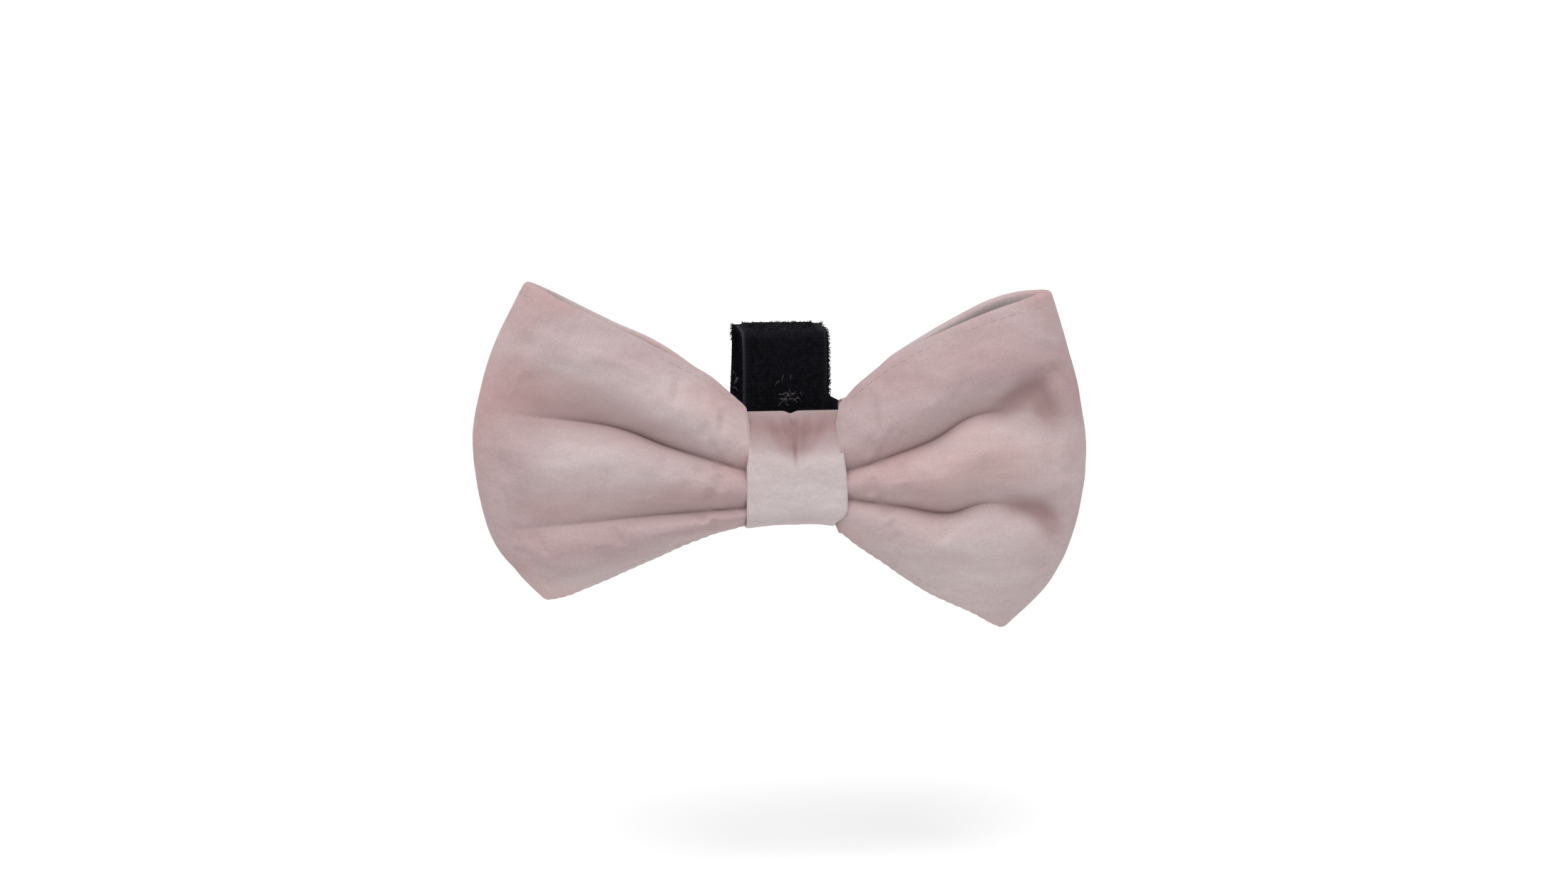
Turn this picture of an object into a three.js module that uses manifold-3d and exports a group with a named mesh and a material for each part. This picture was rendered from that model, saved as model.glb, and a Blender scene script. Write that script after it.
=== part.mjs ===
// A padded velvet bow, gathered in the middle by a wrap, with a hook-and-loop strap behind it that closes
// round a collar or a band. Millimetres, +Z up, and the bow's face looks along -Y. The origin is where a
// collar sits: on the strap's inner face, SEAT_ABOVE_KNOT above the middle of the knot. All shapes below are
// drawn about the middle of the knot, with y = 0 on the strap's inner face.
import Module from "manifold-3d";
import * as THREE from "three";
import { mergeVertices } from "three/addons/utils/BufferGeometryUtils.js";

// Driving dimensions.
const SEAT_ABOVE_KNOT = 10;
const TAPE_WIDTH = 16;
const TAPE_THICKNESS = 1.4;
const GAP = 0.3;
const VELVET = 0.6;
const FLEECE = 0.7;
const PLY_GAP = 0.15;
const BAND_MIDDLE_Y = -11.5;
const END_RADIUS = 2.7;
const KNOT_EDGE = 9.3;
const THREAD_RADIUS = 0.2;

// The wrap's strip.
const WRAP_WIDTH = 18.4;
const WRAP_THICKNESS = 1.1;

// How far the band is squeezed towards the knot's axis: under the wrap, and at its waist.
const SQUEEZE_WRAP = { height: 0.65, depth: 0.88 };
const SQUEEZE_WAIST = { height: 0.62, depth: 0.76 };
const SQUEEZE_RUN = 3.4;
const WAIST_HALF = 5;
const WAIST_FLAT = 3.6;
const KNOT_MIDDLE_Z = -0.9;

// The band's long edges and its two pleat lines are ribs that run from the knot out to the end fold. Each
// rib is drawn through points [distance out from the knot's middle, height], and ends at a fraction of the
// end fold. reach lists the band's half depth from the knot to the end, and each pleat list its depth over
// the same run.
const LEFT = {
  out: -1,
  end: [[48.6, -25.2], [53.6, -19.6], [57.6, -13.4], [61, -2], [61.1, 9], [57.3, 23.6], [51.4, 36]],
  meets: [0, 0.26, 0.62, 1],
  front: {
    ribs: [
      [[KNOT_EDGE, -11], [16, -12.4], [23.9, -15], [36, -20.3]],
      [[KNOT_EDGE, -7.2], [24.2, -7.5], [40, -8.6]],
      [[KNOT_EDGE, -0.2], [24.2, 5.4], [37.8, 11.2]],
      [[KNOT_EDGE, 11.4], [16, 17.4], [23.7, 22.5], [35, 28.3]],
    ],
    reach: [6.2, 8.4, 9.4, 8.8, 6.4, END_RADIUS],
    pleats: [[2.6, 2.6, 2.2, 1.6, 0.8, 0], [3.2, 4.4, 4.4, 3.2, 1.6, 0]],
  },
  back: {
    ribs: [
      [[KNOT_EDGE, -10.8], [24, -14.6], [36, -19.6]],
      [[KNOT_EDGE, -4.5], [24, -4], [40, -5]],
      [[KNOT_EDGE, 2.5], [24, 6.5], [38, 12.5]],
      [[KNOT_EDGE, 10.8], [24, 21.8], [36, 27.8]],
    ],
    reach: [5.4, 7.2, 8, 7.4, 5.4, END_RADIUS],
    pleats: [[1.8, 2.2, 2, 1.2, 0.5, 0], [1.8, 2.4, 2.2, 1.2, 0.5, 0]],
  },
};
const RIGHT = {
  out: 1,
  end: [[42.2, -33.2], [50.8, -23.9], [56.1, -11], [57.5, 4], [54.7, 18.5], [50.7, 32.4]],
  meets: [0, 0.34, 0.64, 1],
  front: {
    ribs: [
      [[KNOT_EDGE, -12.6], [14, -15.8], [25, -23.8], [35, -29.5]],
      [[KNOT_EDGE, -5.8], [20.7, -7.5], [29.5, -8.9], [39, -7.4]],
      [[KNOT_EDGE, -0.8], [25.5, 5], [37, 10.4]],
      [[KNOT_EDGE, 12.2], [21.4, 22], [38, 28.6]],
    ],
    reach: [6.2, 8.2, 9.4, 9, 6.8, END_RADIUS],
    pleats: [[2.8, 3.8, 4, 2.6, 1.8, 0], [3, 3.8, 4.2, 3.4, 2, 0]],
  },
  back: {
    ribs: [
      [[KNOT_EDGE, -12.2], [25, -23.2], [35, -28.9]],
      [[KNOT_EDGE, -4.5], [24, -6], [38, -7]],
      [[KNOT_EDGE, 2.5], [24, 6.5], [37, 10.5]],
      [[KNOT_EDGE, 12.4], [15, 17], [22.5, 21.7], [39.2, 30.4]],
    ],
    reach: [5.4, 7.2, 8, 7.4, 5.4, END_RADIUS],
    pleats: [[1.8, 2.2, 2, 1.2, 0.5, 0], [1.8, 2.4, 2.2, 1.2, 0.5, 0]],
  },
};
const FRONT = -1;
const BACK = 1;
const EDGE_SHARE = 0.38;
const PLEAT_SHARPNESS = 2.4;
const LEAST_REACH = 2.65;
const RIBS = 4;

// Materials.
function cloth(colour, roughness = 0.9) {
  return new THREE.MeshStandardMaterial({ color: colour, roughness, metalness: 0 });
}
const VELVET_PINK = cloth(0xb89c9a);
const WRAP_PINK = cloth(0xbfadab);
const FLEECE_WHITE = cloth(0xe4ded6);
const THREAD_PINK = cloth(0xa98a8a, 0.6);
const TAPE_BLACK = cloth(0x101014, 0.8);
const HOOK_BLACK = cloth(0x17171b, 0.5);
const THREAD_BLACK = cloth(0x0a0a0c, 0.6);

// Numbers and curves.
const mix = (a, b, t) => a + (b - a) * t;
const clamp01 = (t) => Math.min(Math.max(t, 0), 1);
const ease = (t) => clamp01(t) ** 2 * (3 - 2 * clamp01(t));
const spline = (points) => new THREE.SplineCurve(points.map(([x, y]) => new THREE.Vector2(x, y)));

// The value at t, from 0 to 1, of a smooth line through evenly spaced values.
function along(values, t) {
  const line = spline(values.map((value, i) => [i, value]));
  return line.getPoint(clamp01(t)).y;
}

// Prepares a side's curves once: the inner end line, and the ribs of its two layers.
function prepare(side) {
  const end = spline(side.end);
  const fraction = (v) => {
    const i = Math.min(Math.floor(v), RIBS - 2);
    return mix(side.meets[i], side.meets[i + 1], v - i);
  };
  const outward = (v) => {
    const t = end.getTangentAt(fraction(v));
    return new THREE.Vector2(t.y, -t.x);
  };
  const inner = (v) => end.getPointAt(fraction(v)).addScaledVector(outward(v), -END_RADIUS);
  const ribs = (layer) =>
    layer.ribs.map((points, i) => spline([...points, inner(i).toArray()]));
  return { ...side, outward, inner, ribsOf: { [FRONT]: ribs(side.front), [BACK]: ribs(side.back) } };
}

// A lobe's outline in its own plane: s from the knot to the end fold, v from the bottom edge to the top one.
function lobePlane(side, layer, s, v) {
  const i = Math.min(Math.floor(v), RIBS - 2);
  const ribs = side.ribsOf[layer];
  const [a, b] = [ribs[i].getPointAt(s), ribs[i + 1].getPointAt(s)];
  const bulge = side.inner(v).sub(side.inner(i).lerp(side.inner(i + 1), v - i));
  return a.lerp(b, v - i).addScaledVector(bulge, s ** 3);
}

// How far the band's outer face stands from its middle plane.
function reach(side, layer, s, v) {
  const form = layer === FRONT ? side.front : side.back;
  const crown = 1 - Math.abs((2 * v) / (RIBS - 1) - 1) ** 3;
  const full = along(form.reach, s);
  const puffed = mix(END_RADIUS, full, mix(EDGE_SHARE, 1, crown));
  const sunk = form.pleats.reduce((sum, depths, i) => {
    const near = Math.max(1 - Math.abs(v - (i + 1)), 0);
    return sum + Math.max(along(depths, s), 0) * near ** PLEAT_SHARPNESS;
  }, 0);
  return Math.max(puffed - sunk, LEAST_REACH);
}

// The squeeze of the wrap at a distance from the knot's middle.
function squeeze(distance, kind) {
  const free = ease((distance - KNOT_EDGE) / SQUEEZE_RUN);
  const waist = ease((WAIST_HALF - distance) / (WAIST_HALF - WAIST_FLAT));
  return mix(mix(SQUEEZE_WRAP[kind], SQUEEZE_WAIST[kind], waist), 1, free);
}

// A point of the band's outer face and the direction into the band from there.
function squeezed(x, z, layer, depth) {
  const distance = Math.abs(x);
  return {
    at: new THREE.Vector3(
      x,
      BAND_MIDDLE_Y + layer * depth * squeeze(distance, "depth"),
      KNOT_MIDDLE_Z + (z - KNOT_MIDDLE_Z) * squeeze(distance, "height"),
    ),
    into: new THREE.Vector3(0, -layer, 0),
  };
}

function lobePoint(side, layer, s, v) {
  const p = lobePlane(side, layer, s, v);
  return squeezed(side.out * p.x, p.y, layer, reach(side, layer, s, v));
}

function neckPoint(sides, layer, x, v) {
  const t = (x + KNOT_EDGE) / (2 * KNOT_EDGE);
  const heights = sides.map((side) => lobePlane(side, layer, 0, v).y);
  const depths = sides.map((side) => reach(side, layer, 0, v));
  return squeezed(x, mix(...heights, t), layer, mix(...depths, t));
}

// The rounded end fold: turn is -90 degrees at the front and 90 at the back.
function foldPoint(side, turn, v) {
  const front = lobePlane(side, FRONT, 1, v);
  const out = side.outward(v).multiplyScalar(Math.cos(turn));
  const away = new THREE.Vector3(side.out * out.x, Math.sin(turn), out.y);
  const core = new THREE.Vector3(side.out * front.x, BAND_MIDDLE_Y, front.y);
  return { at: core.addScaledVector(away, END_RADIUS), into: away.negate() };
}

// Stations round the whole band, from its one end at the middle of the back to the other.
const LOBE_STEPS = [0, 0.07, 0.16, 0.29, 0.43, 0.58, 0.73, 0.87, 1];
const FOLD_TURNS = [-45, 0, 45].map((degrees) => THREE.MathUtils.degToRad(degrees));
const END_SLIT = 0.3;
function bandStations() {
  const sides = [prepare(LEFT), prepare(RIGHT)];
  const lobe = (side, layer, steps) => steps.map((s) => (v) => lobePoint(side, layer, s, v));
  const neck = (layer, places) => places.map((x) => (v) => neckPoint(sides, layer, x, v));
  const outwards = LOBE_STEPS;
  const inwards = LOBE_STEPS.toReversed();
  const fold = (side, turns) => turns.map((turn) => (v) => foldPoint(side, turn, v));
  return [
    ...neck(BACK, [-END_SLIT, -WAIST_FLAT, -WAIST_HALF]),
    ...lobe(sides[0], BACK, outwards),
    ...fold(sides[0], FOLD_TURNS.toReversed()),
    ...lobe(sides[0], FRONT, inwards),
    ...neck(FRONT, [-WAIST_HALF, -WAIST_FLAT, WAIST_FLAT, WAIST_HALF]),
    ...lobe(sides[1], FRONT, outwards),
    ...fold(sides[1], FOLD_TURNS),
    ...lobe(sides[1], BACK, inwards),
    ...neck(BACK, [WAIST_HALF, WAIST_FLAT, END_SLIT]),
  ];
}
const STATIONS = bandStations();

// Rows across the band, closer together near the pleat lines, from one height share to another.
const ACROSS = [0.2, 0.5, 0.8];
function rowsAcross(from, to) {
  const inside = [0, 1, 2].flatMap((i) => [i, ...ACROSS.map((share) => i + share)]);
  return [from, ...inside.filter((v) => v > from && v < to), to];
}

// A closed slab between two grids of points.
function slab(outer, inner) {
  const [rows, columns] = [outer.length, outer[0].length];
  const positions = [...outer.flat(), ...inner.flat()].flatMap((p) => p.toArray());
  const index = [];
  const at = (layer, i, j) => layer * rows * columns + i * columns + j;
  const quad = (a, b, c, d) => index.push(a, b, c, a, c, d);
  for (let i = 0; i < rows - 1; i++) {
    for (let j = 0; j < columns - 1; j++) {
      quad(at(0, i, j), at(0, i + 1, j), at(0, i + 1, j + 1), at(0, i, j + 1));
      quad(at(1, i, j), at(1, i, j + 1), at(1, i + 1, j + 1), at(1, i + 1, j));
    }
    quad(at(0, i, 0), at(1, i, 0), at(1, i + 1, 0), at(0, i + 1, 0));
    const last = columns - 1;
    quad(at(0, i, last), at(0, i + 1, last), at(1, i + 1, last), at(1, i, last));
  }
  for (let j = 0; j < columns - 1; j++) {
    quad(at(0, 0, j), at(0, 0, j + 1), at(1, 0, j + 1), at(1, 0, j));
    const end = rows - 1;
    quad(at(0, end, j), at(1, end, j), at(1, end, j + 1), at(0, end, j + 1));
  }
  const geometry = new THREE.BufferGeometry();
  geometry.setAttribute("position", new THREE.Float32BufferAttribute(positions, 3));
  geometry.setIndex(index);
  geometry.computeVertexNormals();
  return geometry;
}

// One ply of the band, between two depths under the outer face.
function ply(name, material, from, to, edges = [0, RIBS - 1]) {
  const rows = rowsAcross(...edges);
  const grid = (depth) =>
    STATIONS.map((station) =>
      rows.map((v) => {
        const { at, into } = station(v);
        return at.addScaledVector(into, depth);
      }),
    );
  return named(name, slab(grid(from), grid(to)), material);
}

// A ribbon whose middle line is drawn in the upright plane, [y, z], and whose width lies along X.
function offset(points, distance) {
  return points.map((p, i) => {
    const before = points[Math.max(i - 1, 0)];
    const after = points[Math.min(i + 1, points.length - 1)];
    const tangent = after.clone().sub(before).normalize();
    return new THREE.Vector2(p.x - tangent.y * distance, p.y + tangent.x * distance);
  });
}

const ALONG_X = new THREE.Matrix4().makeBasis(
  new THREE.Vector3(0, 1, 0),
  new THREE.Vector3(0, 0, 1),
  new THREE.Vector3(1, 0, 0),
);
function ribbon(name, material, outline, width, middleX = 0) {
  const shape = new THREE.Shape(outline);
  const geometry = new THREE.ExtrudeGeometry(shape, { depth: width, bevelEnabled: false });
  geometry.translate(0, 0, middleX - width / 2);
  const mesh = named(name, geometry, material);
  mesh.quaternion.setFromRotationMatrix(ALONG_X);
  return mesh;
}

function strip(points, thickness) {
  return [...offset(points, thickness / 2), ...offset(points, -thickness / 2).toReversed()];
}

// A thread is a thin tube along a smooth line.
const THREAD_SIDES = 6;
function thread(name, material, points, steps, radius = THREAD_RADIUS) {
  const section = new THREE.Shape();
  section.absarc(0, 0, radius, 0, 2 * Math.PI);
  const geometry = new THREE.ExtrudeGeometry(section, {
    curveSegments: THREAD_SIDES / 2,
    steps,
    extrudePath: new THREE.CatmullRomCurve3(points, false, "centripetal"),
  });
  return named(name, geometry, material);
}

function named(name, geometry, material) {
  const mesh = new THREE.Mesh(geometry, material);
  mesh.name = name;
  return mesh;
}

// The band: three plies, with a machine seam along each long edge and a whip stitch where its ends meet.
const UNDER_FLEECE = VELVET + PLY_GAP + FLEECE;
const FLEECE_EDGE = ACROSS[0];
const SEAM_EDGE = 0.09;
const SEAM_RADIUS = 0.15;
function edgeSeam(name, v) {
  const middle = VELVET + PLY_GAP + FLEECE / 2;
  const points = STATIONS.map((station) => {
    const { at, into } = station(v);
    return at.addScaledVector(into, middle);
  });
  return thread(name, THREAD_PINK, points, 2 * points.length, SEAM_RADIUS);
}

function band() {
  const fleeceEdges = [FLEECE_EDGE, RIBS - 1 - FLEECE_EDGE];
  return [
    ply("band_face_velvet", VELVET_PINK, 0, VELVET),
    ply("band_fleece", FLEECE_WHITE, VELVET + PLY_GAP, UNDER_FLEECE, fleeceEdges),
    ply("band_lining_velvet", VELVET_PINK, UNDER_FLEECE + PLY_GAP, UNDER_FLEECE + PLY_GAP + VELVET),
    edgeSeam("top_edge_seam", RIBS - 1 - SEAM_EDGE),
    edgeSeam("bottom_edge_seam", SEAM_EDGE),
    bandEndStitch(),
  ];
}

// The whip stitch that joins the band's ends, on the outer face at the middle of the back.
const STITCH_LIFT = THREAD_RADIUS + 0.15;
const END_STITCHES = 9;
const END_STITCH_HALF = 1.1;
function bandEndStitch() {
  const sides = [prepare(LEFT), prepare(RIGHT)];
  const points = Array.from({ length: END_STITCHES }, (_, i) => {
    const x = i % 2 ? END_STITCH_HALF : -END_STITCH_HALF;
    const { at, into } = neckPoint(sides, BACK, x, mix(0.5, 2.5, i / (END_STITCHES - 1)));
    return at.addScaledVector(into, -STITCH_LIFT);
  });
  return thread("band_end_stitch", THREAD_PINK, points, 3 * END_STITCHES);
}

// The gathering thread: turns wound round the waist of the band, under the wrap, as a squarish helix.
const GATHER = { turns: 3, pitch: 0.6, startX: 1.6, y: -11.8, z: -0.5, depth: 4.85, height: 8.3, steps: 24 };
const SQUARISH = 0.5;
function gatherThread() {
  const count = GATHER.turns * GATHER.steps;
  const square = (w) => Math.sign(w) * Math.abs(w) ** SQUARISH;
  const points = Array.from({ length: count + 1 }, (_, i) => {
    const turn = (2 * Math.PI * i) / GATHER.steps;
    return new THREE.Vector3(
      GATHER.startX + (GATHER.pitch * i) / GATHER.steps,
      GATHER.y + GATHER.depth * square(Math.cos(turn)),
      GATHER.z + GATHER.height * square(Math.sin(turn)),
    );
  });
  return thread("gather_thread", THREAD_PINK, points, count);
}

// The wrap: a strip round the knot whose outer end laps over its inner end at the back.
const WRAP_BACK_Y = -3.9;
const WRAP_LAP = { inner: 2, outer: -5.5 };
const WRAP_ROUND = [
  [-6.4, -9.8], [-11, -10.5], [-16, -10.3], [-18.1, -8.8], [-18.5, -6], [-18.5, 1], [-17.3, 5.6],
  [-14.8, 8.6], [-11, 9.5], [-6.6, 9],
];
const WRAP_DIVISIONS = 34;
function wrap() {
  const outerY = WRAP_BACK_Y - WRAP_THICKNESS / 2;
  const innerY = outerY - WRAP_THICKNESS - GAP;
  const middle = spline([
    [innerY, WRAP_LAP.inner],
    [innerY, -4],
    [innerY - 0.1, -7.5],
    ...WRAP_ROUND,
    [outerY - 0.1, 7],
    [outerY, 3],
    [outerY, WRAP_LAP.outer],
  ]);
  const outline = strip(middle.getSpacedPoints(WRAP_DIVISIONS), WRAP_THICKNESS);
  return ribbon("centre_wrap", WRAP_PINK, outline, WRAP_WIDTH);
}

// The zigzag stitch along the wrap's lapped end.
const WRAP_STITCHES = 13;
const WRAP_STITCH = { half: 0.7, fromEnd: 1.3, margin: 1 };
function wrapSeam() {
  const reachX = WRAP_WIDTH / 2 - WRAP_STITCH.margin;
  const points = Array.from({ length: WRAP_STITCHES }, (_, i) => {
    const z = WRAP_LAP.outer + WRAP_STITCH.fromEnd + (i % 2 ? WRAP_STITCH.half : -WRAP_STITCH.half);
    return new THREE.Vector3(
      mix(-reachX, reachX, i / (WRAP_STITCHES - 1)),
      WRAP_BACK_Y + STITCH_LIFT,
      z,
    );
  });
  return thread("wrap_seam_thread", THREAD_PINK, points, 3 * WRAP_STITCHES);
}

// A flat plate in the upright plane that faces the back, from one depth to another.
const FACING_BACK = new THREE.Matrix4().makeBasis(
  new THREE.Vector3(-1, 0, 0),
  new THREE.Vector3(0, 0, 1),
  new THREE.Vector3(0, 1, 0),
);
function plate(shape, fromY, toY, x = 0) {
  const geometry = new THREE.ExtrudeGeometry(shape, { depth: toY - fromY, bevelEnabled: false });
  return geometry.applyMatrix4(FACING_BACK).translate(x, fromY, 0);
}

function rectangle(halfWidth, low, high) {
  return new THREE.Shape([
    new THREE.Vector2(-halfWidth, low),
    new THREE.Vector2(halfWidth, low),
    new THREE.Vector2(halfWidth, high),
    new THREE.Vector2(-halfWidth, high),
  ]);
}

// Joins two closed geometries that overlap into one.
const manifold = await Module();
manifold.setup();
function solid(geometry) {
  const bare = new THREE.BufferGeometry().setAttribute("position", geometry.getAttribute("position"));
  if (geometry.index) bare.setIndex(geometry.index);
  const merged = mergeVertices(bare, 1e-4);
  return new manifold.Manifold(
    new manifold.Mesh({
      numProp: 3,
      vertProperties: merged.getAttribute("position").array,
      triVerts: new Uint32Array(merged.index.array),
    }),
  );
}

function joined(a, b) {
  const { vertProperties, triVerts } = solid(a).add(solid(b)).getMesh();
  const geometry = new THREE.BufferGeometry();
  geometry.setAttribute("position", new THREE.BufferAttribute(vertProperties, 3));
  geometry.setIndex(new THREE.BufferAttribute(triVerts, 1));
  geometry.computeVertexNormals();
  return geometry;
}

// The hook tape: a woven backing with a plain margin round a raised field of hooks.
const HOOK = { back: -3, backing: 0.6, field: 0.7, top: 3.5, bottom: -13, margin: 1.8 };
const HOOK_FACE = HOOK.back + HOOK.backing;
function hookTape() {
  const half = TAPE_WIDTH / 2;
  const backing = plate(rectangle(half, HOOK.bottom, HOOK.top), HOOK.back, HOOK_FACE);
  const field = plate(
    rectangle(half - HOOK.margin, HOOK.bottom + HOOK.margin, HOOK.top - HOOK.margin),
    HOOK.back,
    HOOK_FACE + HOOK.field,
  );
  return named("hook_tape", joined(backing, field), HOOK_BLACK);
}

// A sewn box: a line of thread round a rectangle, with a cross inside it if asked.
const SEW_LINE = 0.4;
const SEW_THICKNESS = 0.3;
function sewnBox(name, { half, low, high, faceY, x = 0, crossed = false }) {
  const middle = (low + high) / 2;
  const shape = rectangle(half, low, high);
  const [a, b] = [half - SEW_LINE, (high - low) / 2 - SEW_LINE];
  const hole = (...points) => {
    shape.holes.push(new THREE.Path(points.map(([px, pz]) => new THREE.Vector2(px, middle + pz))));
  };
  if (crossed) {
    // The cross's two lines leave four triangles open, each half a line clear of the lines beside it.
    const halfLine = (SEW_LINE * Math.hypot(a, b)) / 2;
    const rise = halfLine / a;
    const run = halfLine / b;
    const wide = (a * (b - rise)) / b;
    const tall = (b * (a - run)) / a;
    for (const sign of [-1, 1]) {
      hole([0, sign * rise], [wide, sign * b], [-wide, sign * b]);
      hole([sign * run, 0], [sign * a, tall], [sign * a, -tall]);
    }
  } else {
    hole([-a, -b], [a, -b], [a, b], [-a, b]);
  }
  return named(name, plate(shape, faceY, faceY + SEW_THICKNESS, x), THREAD_BLACK);
}

// The loop tape: sewn root and free panel in one piece, the fold at its top, and the tongue that closes on
// the hooks.
const STRAP_X = -0.2;
const TONGUE_X = -0.9;
const SEWN_ROOT = { low: -3.5, high: 4, face: -0.3 };
const PANEL_LOW = 5;
const SPRING_Z = 22;
const PANEL_BACK = -TAPE_THICKNESS;
const TONGUE_Y = 7.2;
const outlineOf = (points) => points.map(([y, z]) => new THREE.Vector2(y, z));
function strapPanel() {
  const top = SPRING_Z - GAP / 2;
  const outline = [
    [PANEL_BACK, SEWN_ROOT.low], [SEWN_ROOT.face, SEWN_ROOT.low], [SEWN_ROOT.face, SEWN_ROOT.high],
    [0, PANEL_LOW], [0, top], [PANEL_BACK, top],
  ];
  return ribbon("strap_panel", TAPE_BLACK, outlineOf(outline), TAPE_WIDTH, STRAP_X);
}

function strapFold() {
  const low = SPRING_Z + GAP / 2;
  const [near, far] = [TONGUE_Y - TAPE_THICKNESS / 2, TONGUE_Y + TAPE_THICKNESS / 2];
  const outline = [
    [PANEL_BACK, low], [0, low], [0.4, 22.5], [6.1, 23.2], [near, 22.7], [near, low],
    [far, low], [far, 23.8], [7.6, 24.5], [6.9, 24.8], [-0.7, 23.9], [-1.2, 23.5],
  ];
  return ribbon("strap_fold", TAPE_BLACK, outlineOf(outline), TAPE_WIDTH, (STRAP_X + TONGUE_X) / 2);
}

const TONGUE_LINE = [
  [TONGUE_Y, SPRING_Z - GAP / 2], [7.1, 12], [6, 3], [3.6, -1.5], [0.6, -4.3], [-0.7, -6], [-0.7, -12.5],
];
const TONGUE_DIVISIONS = 18;
function strapTongue() {
  const points = spline(TONGUE_LINE).getSpacedPoints(TONGUE_DIVISIONS);
  return ribbon("strap_tongue", TAPE_BLACK, strip(points, TAPE_THICKNESS), TAPE_WIDTH, TONGUE_X);
}

function strap() {
  const sewn = 0.7;
  return [
    hookTape(),
    sewnBox("hook_tape_stitch", {
      half: TAPE_WIDTH / 2 - sewn,
      low: HOOK.bottom + sewn,
      high: HOOK.top - sewn,
      faceY: HOOK_FACE + 0.1,
    }),
    strapPanel(),
    strapFold(),
    strapTongue(),
    sewnBox("strap_box_stitch", {
      half: TAPE_WIDTH / 2 - 2 * sewn,
      low: SEWN_ROOT.low + sewn,
      high: SEWN_ROOT.high - sewn,
      faceY: SEWN_ROOT.face + 0.1,
      x: STRAP_X,
      crossed: true,
    }),
  ];
}

const bow = new THREE.Group();
bow.add(...band(), gatherThread(), wrap(), wrapSeam(), ...strap());
bow.position.z = -SEAT_ABOVE_KNOT;

const barrette = new THREE.Group();
barrette.add(bow);
export default barrette;
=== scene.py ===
"""The looks of a padded velvet bow with a hook-and-loop strap, built around its CAD frame.

Everything is in the row frame: metres, +Z up, and the bow's face looks along -Y. Shapes are drawn in
millimetres about the middle of the knot, [out along X, up along Z] for the bow and [back along Y, up
along Z] for the strap, and place() puts them into the frame.
"""

import math

import bpy
import numpy as np
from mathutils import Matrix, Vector, noise


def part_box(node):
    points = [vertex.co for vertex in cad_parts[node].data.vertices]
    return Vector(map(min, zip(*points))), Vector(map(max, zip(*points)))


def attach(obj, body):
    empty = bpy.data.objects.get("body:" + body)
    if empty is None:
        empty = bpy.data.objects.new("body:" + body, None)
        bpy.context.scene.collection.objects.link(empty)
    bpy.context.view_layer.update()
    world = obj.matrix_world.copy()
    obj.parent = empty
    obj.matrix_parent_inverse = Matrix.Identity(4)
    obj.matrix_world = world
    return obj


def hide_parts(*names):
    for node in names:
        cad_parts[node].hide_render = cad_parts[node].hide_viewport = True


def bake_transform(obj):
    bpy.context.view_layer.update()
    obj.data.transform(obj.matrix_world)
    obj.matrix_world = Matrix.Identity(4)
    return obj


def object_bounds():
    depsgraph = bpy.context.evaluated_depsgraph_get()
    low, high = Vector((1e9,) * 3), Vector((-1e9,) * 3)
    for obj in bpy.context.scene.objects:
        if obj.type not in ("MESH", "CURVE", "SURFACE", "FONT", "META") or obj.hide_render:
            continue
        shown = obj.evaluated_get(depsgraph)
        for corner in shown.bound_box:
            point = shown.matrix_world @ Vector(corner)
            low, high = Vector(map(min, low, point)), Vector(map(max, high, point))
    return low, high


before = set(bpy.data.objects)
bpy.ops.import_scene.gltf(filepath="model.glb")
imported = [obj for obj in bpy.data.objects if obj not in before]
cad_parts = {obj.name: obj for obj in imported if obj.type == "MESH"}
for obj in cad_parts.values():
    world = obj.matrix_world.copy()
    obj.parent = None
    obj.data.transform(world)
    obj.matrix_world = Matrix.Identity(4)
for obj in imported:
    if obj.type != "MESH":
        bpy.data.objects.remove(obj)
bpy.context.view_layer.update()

MM = 0.001
WRAP_TOP = 10.1  # how far the wrap's CAD solid reaches above the middle of the knot
KNOT_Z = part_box("centre_wrap")[1].z / MM - WRAP_TOP
SEAT_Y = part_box("strap_panel")[1].y / MM


# ---------------------------------------------------------------- numbers and curves


def mix(a, b, t):
    return a + (b - a) * t


def ease(t):
    t = np.clip(t, 0, 1)
    return t * t * (3 - 2 * t)


def rise(x, start, run):
    """From 0 where x is at start, smoothly up to 1 a run further on."""
    return ease((x - start) / run)


def smooth_line(points, samples=60):
    """A dense Catmull-Rom line through the points, and its length up to each point of it."""
    p = np.asarray(points, float)
    p = np.vstack([p[:1], p, p[-1:]])
    t = np.linspace(0, 1, samples, endpoint=False)[:, None]
    runs = [
        0.5 * (2 * b + (c - a) * t + (2 * a - 5 * b + 4 * c - d) * t**2 + (3 * b - a - 3 * c + d) * t**3)
        for a, b, c, d in zip(p, p[1:], p[2:], p[3:])
    ]
    line = np.vstack([*runs, p[-1:]])
    length = np.r_[0, np.cumsum(np.linalg.norm(np.diff(line, axis=0), axis=1))]
    return line, length


def along(curve, share):
    """The points of a smooth line at shares of its length."""
    line, length = curve
    return np.stack([np.interp(share * length[-1], length, line[:, k]) for k in range(line.shape[1])], -1)


def level(values, t):
    """A smooth line through evenly spaced values, read at t from 0 to 1."""
    line, _ = smooth_line([[i / (len(values) - 1), value] for i, value in enumerate(values)])
    return np.interp(t, line[:, 0], line[:, 1])


def unit(v):
    return v / np.maximum(np.linalg.norm(v, axis=-1, keepdims=True), 1e-12)


def place(points):
    """From millimetres about the knot to metres in the row frame."""
    return (np.asarray(points, float) + [0, SEAT_Y, KNOT_Z]) * MM


def rough(points, scale, seed):
    """Smooth noise from -1 to 1 at each point, with features about scale millimetres across."""
    shift = Vector((seed * 17.3, seed * 5.1, seed * 9.7))
    flat = points.reshape(-1, 3) / scale
    return np.array([noise.noise(Vector(p) + shift) for p in flat]).reshape(points.shape[:-1])


# ---------------------------------------------------------------- meshes


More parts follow.
